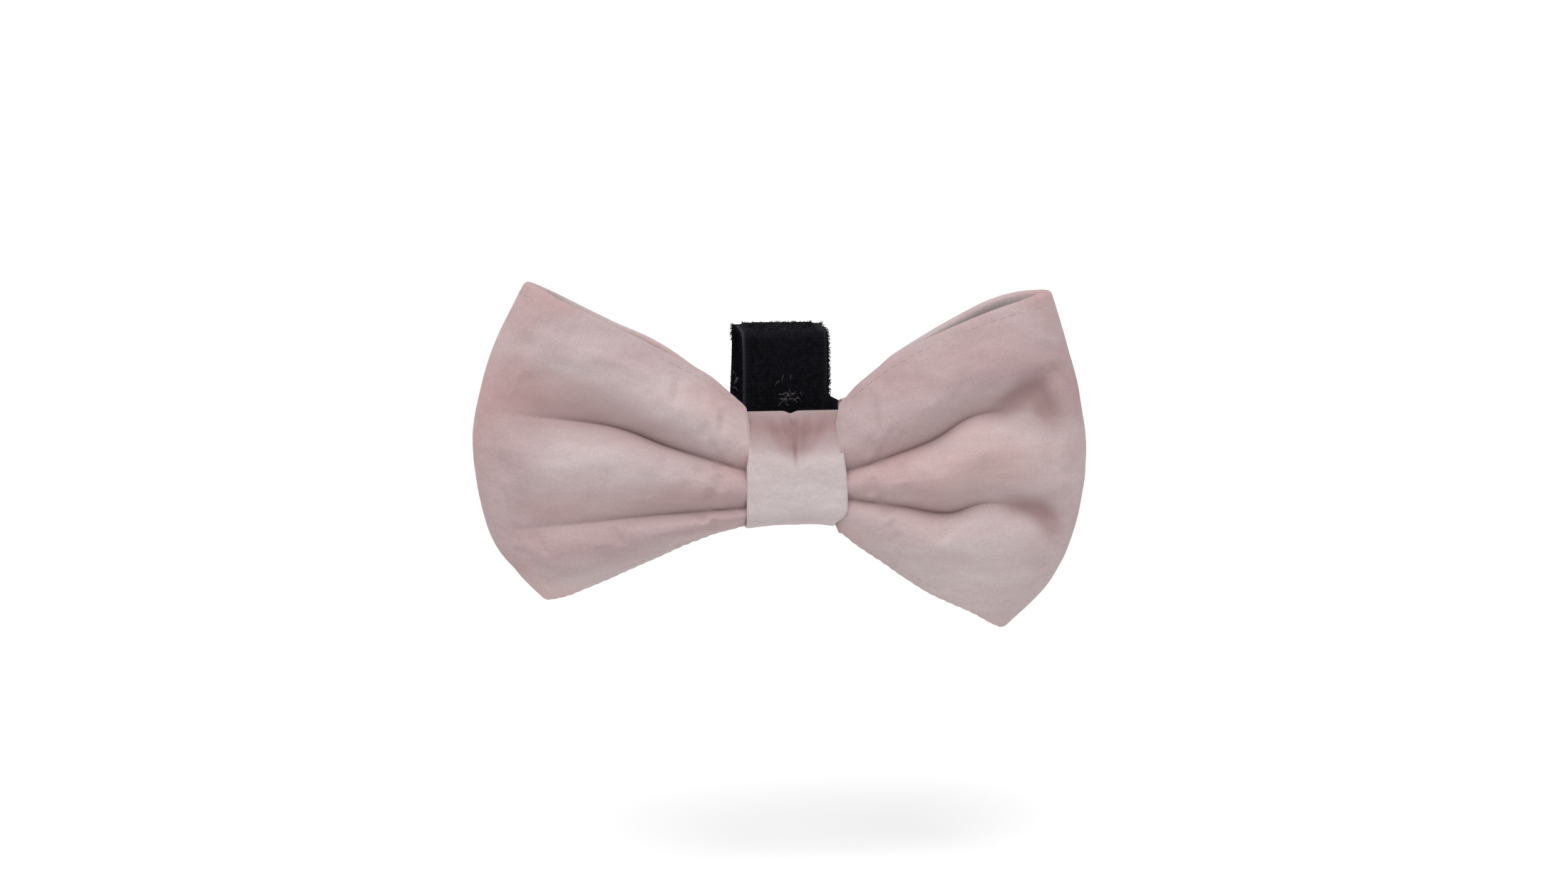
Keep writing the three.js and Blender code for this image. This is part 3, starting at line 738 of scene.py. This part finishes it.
# ---------------------------------------------------------------- the wrap

WRAP_THICKNESS = 1.1
WRAP_BACK_Y = -3.9
WRAP_LAP_INNER, WRAP_LAP_OUTER = 2, -5.5
WRAP_ROUND = [
    [-6.4, -10], [-11, -10.7], [-16, -10.5], [-18.1, -8.9], [-18.5, -6], [-18.5, 1], [-17.3, 5.6],
    [-14.8, 8.6], [-11, 9.5], [-6.6, 9],
]
WRAP_HALF_LEFT, WRAP_HALF_RIGHT = 9.2, 9.3
CORNER_ROUND = 2.1  # how far the lower right corner is cut in, where the lower puff presses out beside it
WRINKLES = (  # [where each lies across the wrap's top, how deep it is, how wide it is]
    (-4.6, 0.4, 1.3),
    (-1.9, 0.35, 0.8),
    (-0.2, 0.4, 0.6),
    (2.6, 0.45, 1),
    (5.6, 0.35, 1.2),
)
WRAP_SHADES = [0, 0.11, 0.38, 0.6, 0.82, 0.54]  # painted shade, darkening upwards, from the knot's middle to 10 mm above it


def wrap_line():
    """The outer face of the wrap's strip seen from its side, [back, up], and the way out from it."""
    outer_y = WRAP_BACK_Y - WRAP_THICKNESS / 2
    inner_y = outer_y - WRAP_THICKNESS - 0.3
    middle = smooth_line(
        [
            [inner_y, WRAP_LAP_INNER], [inner_y, -4], [inner_y - 0.1, -7.5], *WRAP_ROUND,
            [outer_y - 0.1, 7], [outer_y, 3], [outer_y, WRAP_LAP_OUTER],
        ]
    )
    line = along(middle, np.linspace(0, 1, 300))
    way = unit(np.gradient(line, axis=0))
    out = np.stack([-way[:, 1], way[:, 0]], -1)
    return line + out * WRAP_THICKNESS / 2, out


def make_wrap():
    line, out = wrap_line()
    y, z = line.T
    front = rise(-y, 9, 5)
    upper = rise(z, 0.2, 3.4) * rise(-y, 6, 4)
    lower = rise(-z, 7, 3.6) * front
    right = WRAP_HALF_RIGHT - 1.1 * rise(z, -5, 13) * front - CORNER_ROUND * lower**2
    left = WRAP_HALF_LEFT - 0.35 * upper - 0.1 * lower
    across = np.linspace(-1, 1, 97)[None]
    x = np.where(across > 0, right[:, None] * across, left[:, None] * across)
    grid = np.stack([x, y[:, None] + 0 * x, z[:, None] + 0 * x], -1)
    outward = np.stack([0 * out[:, 0], out[:, 0], out[:, 1]], -1)[:, None]
    high = rise(z, 0.4, 4)[:, None] * front[:, None]
    # The wrinkles run down from the wrap's top and draw together towards its middle.
    drawn_in = 0.28 + 0.72 * np.clip((z[:, None] - 1) / 8.5, 0, 1.2)
    wrinkles = 0
    for centre, depth, width in WRINKLES:
        wrinkles = wrinkles - depth * np.exp(-(((x - centre * drawn_in) / width) ** 2)) * high
    above = z[:, None] - 0.1 * np.sqrt(x**2 + 1)
    step = -0.35 * rise(above, 1, 3) * front[:, None]
    sag = 0.55 * (x / 9.0) ** 2 * rise(-z, 6, 4)[:, None]
    notch = -0.5 * np.exp(-((x / 0.9) ** 2)) * rise(z, 8, 1.5)[:, None]
    swell = 0.16 * rough(grid, 6, 3) + 0.07 * rough(grid, 2.2, 4)
    grid = grid + outward * (wrinkles + step + notch + swell * front[:, None])[..., None]
    grid[..., 2] -= sag
    # Painted shade: it darkens upwards, with painted shade in one crease down its middle, in a soft hollow
    # round that and in the wrinkles.
    shade = level(WRAP_SHADES, np.clip(above / 10, 0, 1)) * rise(-y, 4, 4)[:, None]
    crease_run = rise(z, 0.2, 1.5) * (1 - rise(z, 4, 4)) * front
    crease = np.exp(-(((x + 0.3) / 0.4) ** 2)) * crease_run[:, None]
    hollow = np.exp(-((x / 2) ** 2)) * high
    shade = shade - 0.45 * wrinkles + 0.28 * crease + 0.18 * hollow
    order = np.s_[:, ::-1]
    ring, faces = soft_strip(grid[order], (grid - outward * WRAP_THICKNESS)[order])
    tone = np.zeros(ring.shape[:2])
    tone[:, : across.size] = np.clip(shade[order], 0, 1)
    # painted shade on the pile: darker and rosier up the wrap's front
    painted_light_and_shade = np.full(ring.shape[:2], 0.62) + 0.5 * (rise(z, 2, 6) * front)[:, None]
    wrap = make_object("knot_wrap", place(ring.reshape(-1, 3)), faces, WRAP_VELVET, shade=tone, nap=painted_light_and_shade)
    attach(wrap, "bow")
    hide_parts("centre_wrap")


# ---------------------------------------------------------------- the strap

# The loop tape seen from its side, [back, up]: sewn root, free panel and fold in one run, then the tongue.
TAPE_WIDTH = 16.4
TAPE_THICKNESS, SEWN_THICKNESS = 1.4, 1.1
MARGIN = 1.3  # a woven selvedge without pile along each long edge
MARGIN_SHARE = 0.66  # how thick the selvedge is, of the tape's full thickness
PANEL_X, TONGUE_X, TONGUE_LOW_X = -0.2, -1.1, -1.7
PANEL_LINE = [
    [-0.85, -3.5], [-0.85, 0], [-0.85, 3.6], [-0.7, 5.4], [-0.7, 12], [-0.7, 20], [-0.7, 22.7], [-0.5, 23.5],
    [0.1, 23.85], [3.2, 24.2], [6, 24.5], [6.8, 24.3], [7.15, 23.5], [7.2, 21.9],
]
TONGUE_LINE = [
    [7.2, 21.9], [7.12, 12], [6, 3], [3.6, -1.5], [0.6, -4.3], [-0.7, -6], [-0.7, -9], [-0.7, -12.5],
]
ROOT_SPREAD = 2.4  # the root's right edge is pulled outwards where the wrap's seam catches it
SPREAD_TOP, SPREAD_LOW, SPREAD_RUN = 11.9, 4.5, 1.8
SEWN_HALF, SEWN_LOW, SEWN_HIGH = 6.6, -2.8, 3.3  # the box stitch in the strap's root
UNSEWN = -40  # far below the tape, so that nothing of it is thinned by sewing
PILE_RADIUS, LINT_RADIUS = 0.045, 0.035
LINT_Y = -1.95  # the tips of the pile on the strap's face
random = np.random.default_rng(7)


def run_of(points, rows):
    """Evenly spaced points of a smooth line, and the way out from its outer face."""
    line = along(smooth_line(points), np.linspace(0, 1, rows))
    way = unit(np.gradient(line, axis=0))
    return line, np.stack([-way[:, 1], way[:, 0]], -1)


def tape(name, points, rows, first_x, last_x, shifts, sewn_below, spread=0.0):
    """A length of tape with its two selvedges, and the course that its pile follows.

    Its middle shifts from first_x to last_x along an ease that is read over shifts. Its root may spread to
    the right. The selvedges get a painted highlight, paler along their edges, the left one most.
    """
    line, out = run_of(points, rows)
    x = np.linspace(-TAPE_WIDTH / 2, TAPE_WIDTH / 2, 65)[None]
    inside = TAPE_WIDTH / 2 - MARGIN - np.abs(x)
    share = mix(MARGIN_SHARE, 1, ease(inside / 0.3 + 0.5)) + 0.08 * np.exp(-((inside / 0.15) ** 2))
    thick = mix(SEWN_THICKNESS, TAPE_THICKNESS, rise(line[:, 1], sewn_below, 1.4))
    middle_x = mix(first_x, last_x, ease(np.linspace(*shifts, rows)))
    half = (thick[:, None] * share / 2)[..., None]
    outward = np.stack([0 * out[:, 0], out[:, 0], out[:, 1]], -1)[:, None]
    y, z = line[:, [0]], line[:, [1]]
    caught = ease((SPREAD_TOP - z) / SPREAD_RUN) * rise(z, SPREAD_LOW, 2 * SPREAD_RUN)
    flare = spread * caught * ease(x / TAPE_WIDTH * 4 - 1)
    middle = np.stack(np.broadcast_arrays(x + middle_x[:, None] + flare, y, z), -1)
    middle = middle + outward * (0.05 * rough(middle, 3.5, 5))[..., None]
    ring, faces = soft_strip(middle + outward * half, middle - outward * half)
    # painted highlight along both edges, strongest on the left, where the light catches the selvedge
    worn = np.exp(-(((TAPE_WIDTH / 2 - np.abs(x)) / 0.35) ** 2)) * np.where(x < 0, 1, 0.3)
    tone = np.zeros(ring.shape[:2])
    tone[:, : x.size] = worn
    return make_object(name, place(ring.reshape(-1, 3)), faces, TAPE_GROUND, worn=tone), (line, out, middle_x)


HAIR_STEPS = (0, 0.35, 0.7, 1)


def hairs(course, count, side, height, looped=False):
    """Strands that stand on one face of a tape: a brushed fuzz, or closed loops."""
    line, out, middle_x = course
    width = TAPE_WIDTH / 2 - MARGIN
    at = random.uniform(0, len(line) - 1, count)
    read = [np.interp(at, np.arange(len(line)), a) for a in (*line.T, *out.T, middle_x)]
    x = read[4] + random.uniform(-width, width, count)
    normal = side * np.stack([0 * x, read[2], read[3]], -1)
    root = np.stack([x, read[0], read[1]], -1) + normal * TAPE_THICKNESS * 0.46
    sideways = np.cross(normal, [1.0, 0, 0])
    turn = random.uniform(0, 2 * math.pi, count)[:, None]
    lean = np.cos(turn) * [1.0, 0, 0] + np.sin(turn) * sideways
    tall = random.uniform(*height, count)[:, None]
    if looped:
        bend = np.linspace(0, math.pi, 7)
        steps = [root + lean * tall * 0.45 * (1 - math.cos(w)) + normal * tall * math.sin(w) for w in bend]
    else:
        curl = np.cross(lean, normal) * random.uniform(-0.5, 0.5, count)[:, None]
        steps = [
            root + tall * (normal * (t - 0.25 * t * t) + (lean * 0.6 + curl * t) * t * t) for t in HAIR_STEPS
        ]
    return np.stack(steps, 1)


def edge_hairs(course, count, length):
    """Loose fibres that stand out from both long edges of a tape."""
    line, out, middle_x = course
    at = random.uniform(0, len(line) - 1, count)
    read = [np.interp(at, np.arange(len(line)), a) for a in (*line.T, *out.T, middle_x)]
    edge = np.sign(random.uniform(-1, 1, count))
    normal = np.stack([0 * edge, read[2], read[3]], -1)
    across = edge[:, None] * [1.0, 0, 0]
    x = read[4] + edge * (TAPE_WIDTH / 2 - 0.1)
    root = np.stack([x, read[0], read[1]], -1) + normal * random.uniform(-0.45, 0.45, count)[:, None]
    long = random.uniform(*length, count)[:, None]
    lean = np.cross(normal, across) * random.uniform(-0.9, 0.9, count)[:, None]
    lean += normal * random.uniform(-0.7, 0.7, count)[:, None]
    return np.stack([root + long * (across * t + lean * t * t) for t in HAIR_STEPS], 1)


def strand_object(name, groups, radius, material, sides=3):
    """One object of strands, whose groups may have different numbers of points."""
    points, faces, start = [], [], 0
    for paths in groups:
        some, rings = strands(paths, radius, sides)
        points.append(some)
        faces += [tuple(start + i for i in face) for face in rings]
        start += len(some)
    return make_object(name, place(np.concatenate(points)), faces, material)


def stitches(points, length, gap, lift, out):
    """A sewn line: one short arched strand for each stitch along a line of points."""
    line = smooth_line(points, 24)
    count = max(int(line[1][-1] / (length + gap)), 1)
    starts = (np.arange(count) + 0.5) / count
    reach = length / 2 / line[1][-1]
    steps = np.linspace(-1, 1, 6)
    paths = np.stack([along(line, starts + reach * t) for t in steps], 1)
    return paths + np.asarray(out, float) * (lift * (1 - steps**2) - lift * 0.6)[None, :, None]


def make_strap():
    panel, panel_course = tape(
        "strap_tape", PANEL_LINE, 150, PANEL_X, TONGUE_X, (-1.6, 1), SEWN_HIGH + 0.5, ROOT_SPREAD
    )
    tongue, tongue_course = tape("tongue_tape", TONGUE_LINE, 150, TONGUE_X, TONGUE_LOW_X, (0, 2), UNSEWN)
    groups = {
        "strap_pile": [
            hairs(panel_course, 3400, 1, (0.25, 0.5)),
            hairs(panel_course, 1300, -1, (0.35, 0.6), looped=True),
            edge_hairs(panel_course, 2800, (0.25, 1.05)),
        ],
        "tongue_pile": [
            hairs(tongue_course, 2600, 1, (0.25, 0.5)),
            hairs(tongue_course, 1500, -1, (0.3, 0.55), looped=True),
            edge_hairs(tongue_course, 1300, (0.25, 0.6)),
        ],
    }
    piles = [strand_object(name, paths, PILE_RADIUS, LOOPS) for name, paths in groups.items()]
    for piece in (panel, piles[0]):
        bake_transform(piece)
    for piece in (tongue, piles[1]):
        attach(piece, "tongue")
    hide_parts("strap_panel", "strap_fold")
    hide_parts("strap_tongue")


# The hook tape under the knot: a woven backing with a field of hooks, seen from behind.
HOOK_BACK, HOOK_FACE, HOOK_TIP = -3.0, -2.4, -1.72
HOOK_HALF, HOOK_LOW, HOOK_HIGH = 8, -13.0, 3.5
HOOK_MARGIN, HOOK_PITCH = 1.7, 1.15
HOOK_STAGGER = 0.175  # every second hook stands a little to the right of its place
CROOK = 0.24  # the radius of a hook's crook


def make_hook_tape():
    z = np.linspace(HOOK_LOW, HOOK_HIGH, 60)[:, None]
    x = np.linspace(-HOOK_HALF, HOOK_HALF, 61)[None]
    flat = np.stack(np.broadcast_arrays(x, 0.0, z), -1)
    ripple = 0.03 * rough(flat, 2.5, 6)
    behind = flat + np.stack([0 * ripple, HOOK_FACE + ripple, 0 * ripple], -1)
    ring, faces = soft_strip(behind, flat + [0, HOOK_BACK, 0])
    backing = make_object("hook_backing", place(ring.reshape(-1, 3)), faces, TAPE_GROUND)
    across = np.arange(-HOOK_HALF + HOOK_MARGIN, HOOK_HALF - HOOK_MARGIN + 0.01, HOOK_PITCH)
    up = np.arange(HOOK_LOW + HOOK_MARGIN, HOOK_HIGH - HOOK_MARGIN + 0.01, HOOK_PITCH)
    root = np.array([[a, HOOK_FACE - 0.05, b] for b in up for a in across])
    root[1::2, 0] += HOOK_STAGGER
    lean = np.sign(random.uniform(-1, 1, len(root)))[:, None] * [1, 0, 0]
    tall = HOOK_TIP - HOOK_FACE
    stem = [root + [0, tall * 0.55 * t, 0] for t in (0, 0.5)]
    for w in np.linspace(0, 1.15 * math.pi, 8):
        over = lean * CROOK * (1 - math.cos(w))
        stem.append(root + [0, tall * 0.62 + CROOK * math.sin(w), 0] + over)
    hooks = strand_object("hook_field", [np.stack(stem, 1)], 0.09, HOOKS, 6)
    for piece in (backing, hooks):
        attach(piece, "bow")
    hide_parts("hook_tape")


def box(half, low, high, y, x=0):
    """The four lines of a sewn box in a plane across Y, and its corners."""
    corners = [[x - half, y, low], [x + half, y, low], [x + half, y, high], [x - half, y, high]]
    return [[a, b] for a, b in zip(corners, corners[1:] + corners[:1])], corners


def make_sewing():
    """The stitches that hold the hook tape and the strap's root."""
    behind = [0, 1, 0]
    hook_box, _ = box(HOOK_HALF - 0.7, HOOK_LOW + 0.7, HOOK_HIGH - 0.7, HOOK_FACE)
    root_box, corners = box(SEWN_HALF, SEWN_LOW, SEWN_HIGH, -0.3, PANEL_X)
    cross = [[corners[0], corners[2]], [corners[3], corners[1]]]
    sewn = {
        "hook_tape_stitches": (hook_box, "hook_tape_stitch"),
        "strap_box_stitches": (root_box + cross, "strap_box_stitch"),
    }
    for name, (lines, node) in sewn.items():
        paths = np.concatenate([stitches(line, 1.7, 0.4, 0.16, behind) for line in lines])
        piece = strand_object(name, [paths], 0.17, BLACK_THREAD, 6)
        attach(piece, "bow")
        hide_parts(node)


def make_lint():
    """Pale fibres caught on the strap's face and inside its left edge."""

    def fibres(count, middle, spread, length, flat):
        """Bent fibres round a middle. flat says how far they lie along each axis."""
        root = np.asarray(middle) + random.normal(0, 1, (count, 3)) * spread
        way = unit(random.normal(0, 1, (count, 3)) * flat)
        bend = random.normal(0, 1, (count, 3)) * flat * 0.7
        long = random.uniform(*length, count)[:, None]
        return np.stack([root + long * (way * t + bend * t * t) for t in np.linspace(-0.5, 0.5, 7)], 1)

    front = [
        fibres(16, (0.3, LINT_Y, 11.2), (0.9, 0.06, 0.6), (0.5, 1.3), (1, 0.08, 0.8)),
        fibres(7, (-0.2, LINT_Y, 13.4), (0.7, 0.06, 1), (0.5, 1.4), (0.6, 0.08, 1)),
        fibres(4, (1.6, LINT_Y, 12), (0.8, 0.06, 0.8), (0.4, 0.9), (1, 0.08, 1)),
    ]
    piece = strand_object("lint_front", front, LINT_RADIUS, LINT)
    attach(piece, "bow")
    inside = [fibres(14, (TONGUE_X - 8, 6.2, 14.2), (0.2, 0.1, 1), (0.5, 1.1), (0.5, 0.2, 1))]
    piece = strand_object("lint_tongue", inside, LINT_RADIUS, LINT)
    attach(piece, "tongue")


# The machine stitches along the band's long edges, on the face of both lobes, in from the edge by this
# share of the way to the next rib. They start a little clear of the wrap.
SEAM_IN = 0.04
SEAM_CLEAR = 1.2
SHORTEST_SEAM = 8  # in rows of the band


def make_edge_seams(grid):
    for name, at, node in (
        ("top_edge_stitches", RIBS - 1 - SEAM_IN, "top_edge_seam"),
        ("bottom_edge_stitches", SEAM_IN, "bottom_edge_seam"),
    ):
        path = grid[:, int(np.argmin(np.abs(ACROSS_BAND - at)))]
        free = np.abs(path[:, 0]) > KNOT_EDGE + SEAM_CLEAR
        runs = np.split(np.arange(len(path)), np.flatnonzero(np.diff(free.astype(int))) + 1)
        paths = [
            stitches(path[run], 1.2, 0.7, 0, [0, 0, 0])
            for run in runs
            if free[run[0]] and len(run) > SHORTEST_SEAM
        ]
        piece = strand_object(name, [np.concatenate(paths)], 0.04, PINK_THREAD, 5)
        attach(piece, "bow")
        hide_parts(node)


surface = band_surface()
make_band(*surface)
make_wrap()
make_edge_seams(surface[0])
make_hook_tape()
make_strap()
make_sewing()
make_lint()


# ---------------------------------------------------------------- threads that stay as CAD made them

for node in ("band_end_stitch", "gather_thread", "wrap_seam_thread"):
    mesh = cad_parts[node].data
    mesh.materials.clear()
    mesh.materials.append(PINK_THREAD)


# ---------------------------------------------------------------- floor, light and camera

FLOOR_BELOW = 0.05  # the bow hangs from its collar seat, clear of the floor
FLOOR_TONES = [(0.3, (0.79, 0.79, 0.79, 1)), (0.7, (0.81, 0.81, 0.81, 1))]


def make_floor():
    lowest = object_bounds()[0].z
    bpy.ops.mesh.primitive_plane_add(size=14, location=(0, 0, lowest - FLOOR_BELOW))
    floor = bpy.context.object
    floor.name = "floor"
    m = Nodes("floor_white")
    m.set(Base_Color=m.ramp(m.noise(3, 1, 0.5), FLOOR_TONES), Roughness=0.9, Specular_IOR_Level=0.1)
    floor.data.materials.append(m.material)


def make_light():
    world = bpy.data.worlds.new("studio")
    world.use_nodes = True
    world.node_tree.nodes["Background"].inputs["Color"].default_value = (1, 1, 1, 1)
    world.node_tree.nodes["Background"].inputs["Strength"].default_value = 0.72
    bpy.context.scene.world = world
    overhead = bpy.data.lights.new("overhead_softbox", "SUN")
    overhead.energy = 2.9
    overhead.angle = math.radians(50)
    light = bpy.data.objects.new("overhead_softbox", overhead)
    light.rotation_euler = Vector((0.16, 0.5, -1)).to_track_quat("-Z", "Y").to_euler()
    bpy.context.scene.collection.objects.link(light)
    bpy.context.scene.view_settings.view_transform = "Standard"


def make_camera():
    azimuth, elevation, distance = math.radians(-7), math.radians(10), 0.7272
    target = Vector((-0.0002, 0.0005, -0.0076))
    back = Vector(
        (
            math.sin(azimuth) * math.cos(elevation),
            -math.cos(azimuth) * math.cos(elevation),
            math.sin(elevation),
        )
    )
    data = bpy.data.cameras.new("camera")
    data.lens = 85
    camera = bpy.data.objects.new("camera", data)
    camera.location = target + back * distance
    camera.rotation_euler = (-back).to_track_quat("-Z", "Y").to_euler()
    bpy.context.scene.collection.objects.link(camera)
    bpy.context.scene.camera = camera


make_camera()
make_light()
make_floor()
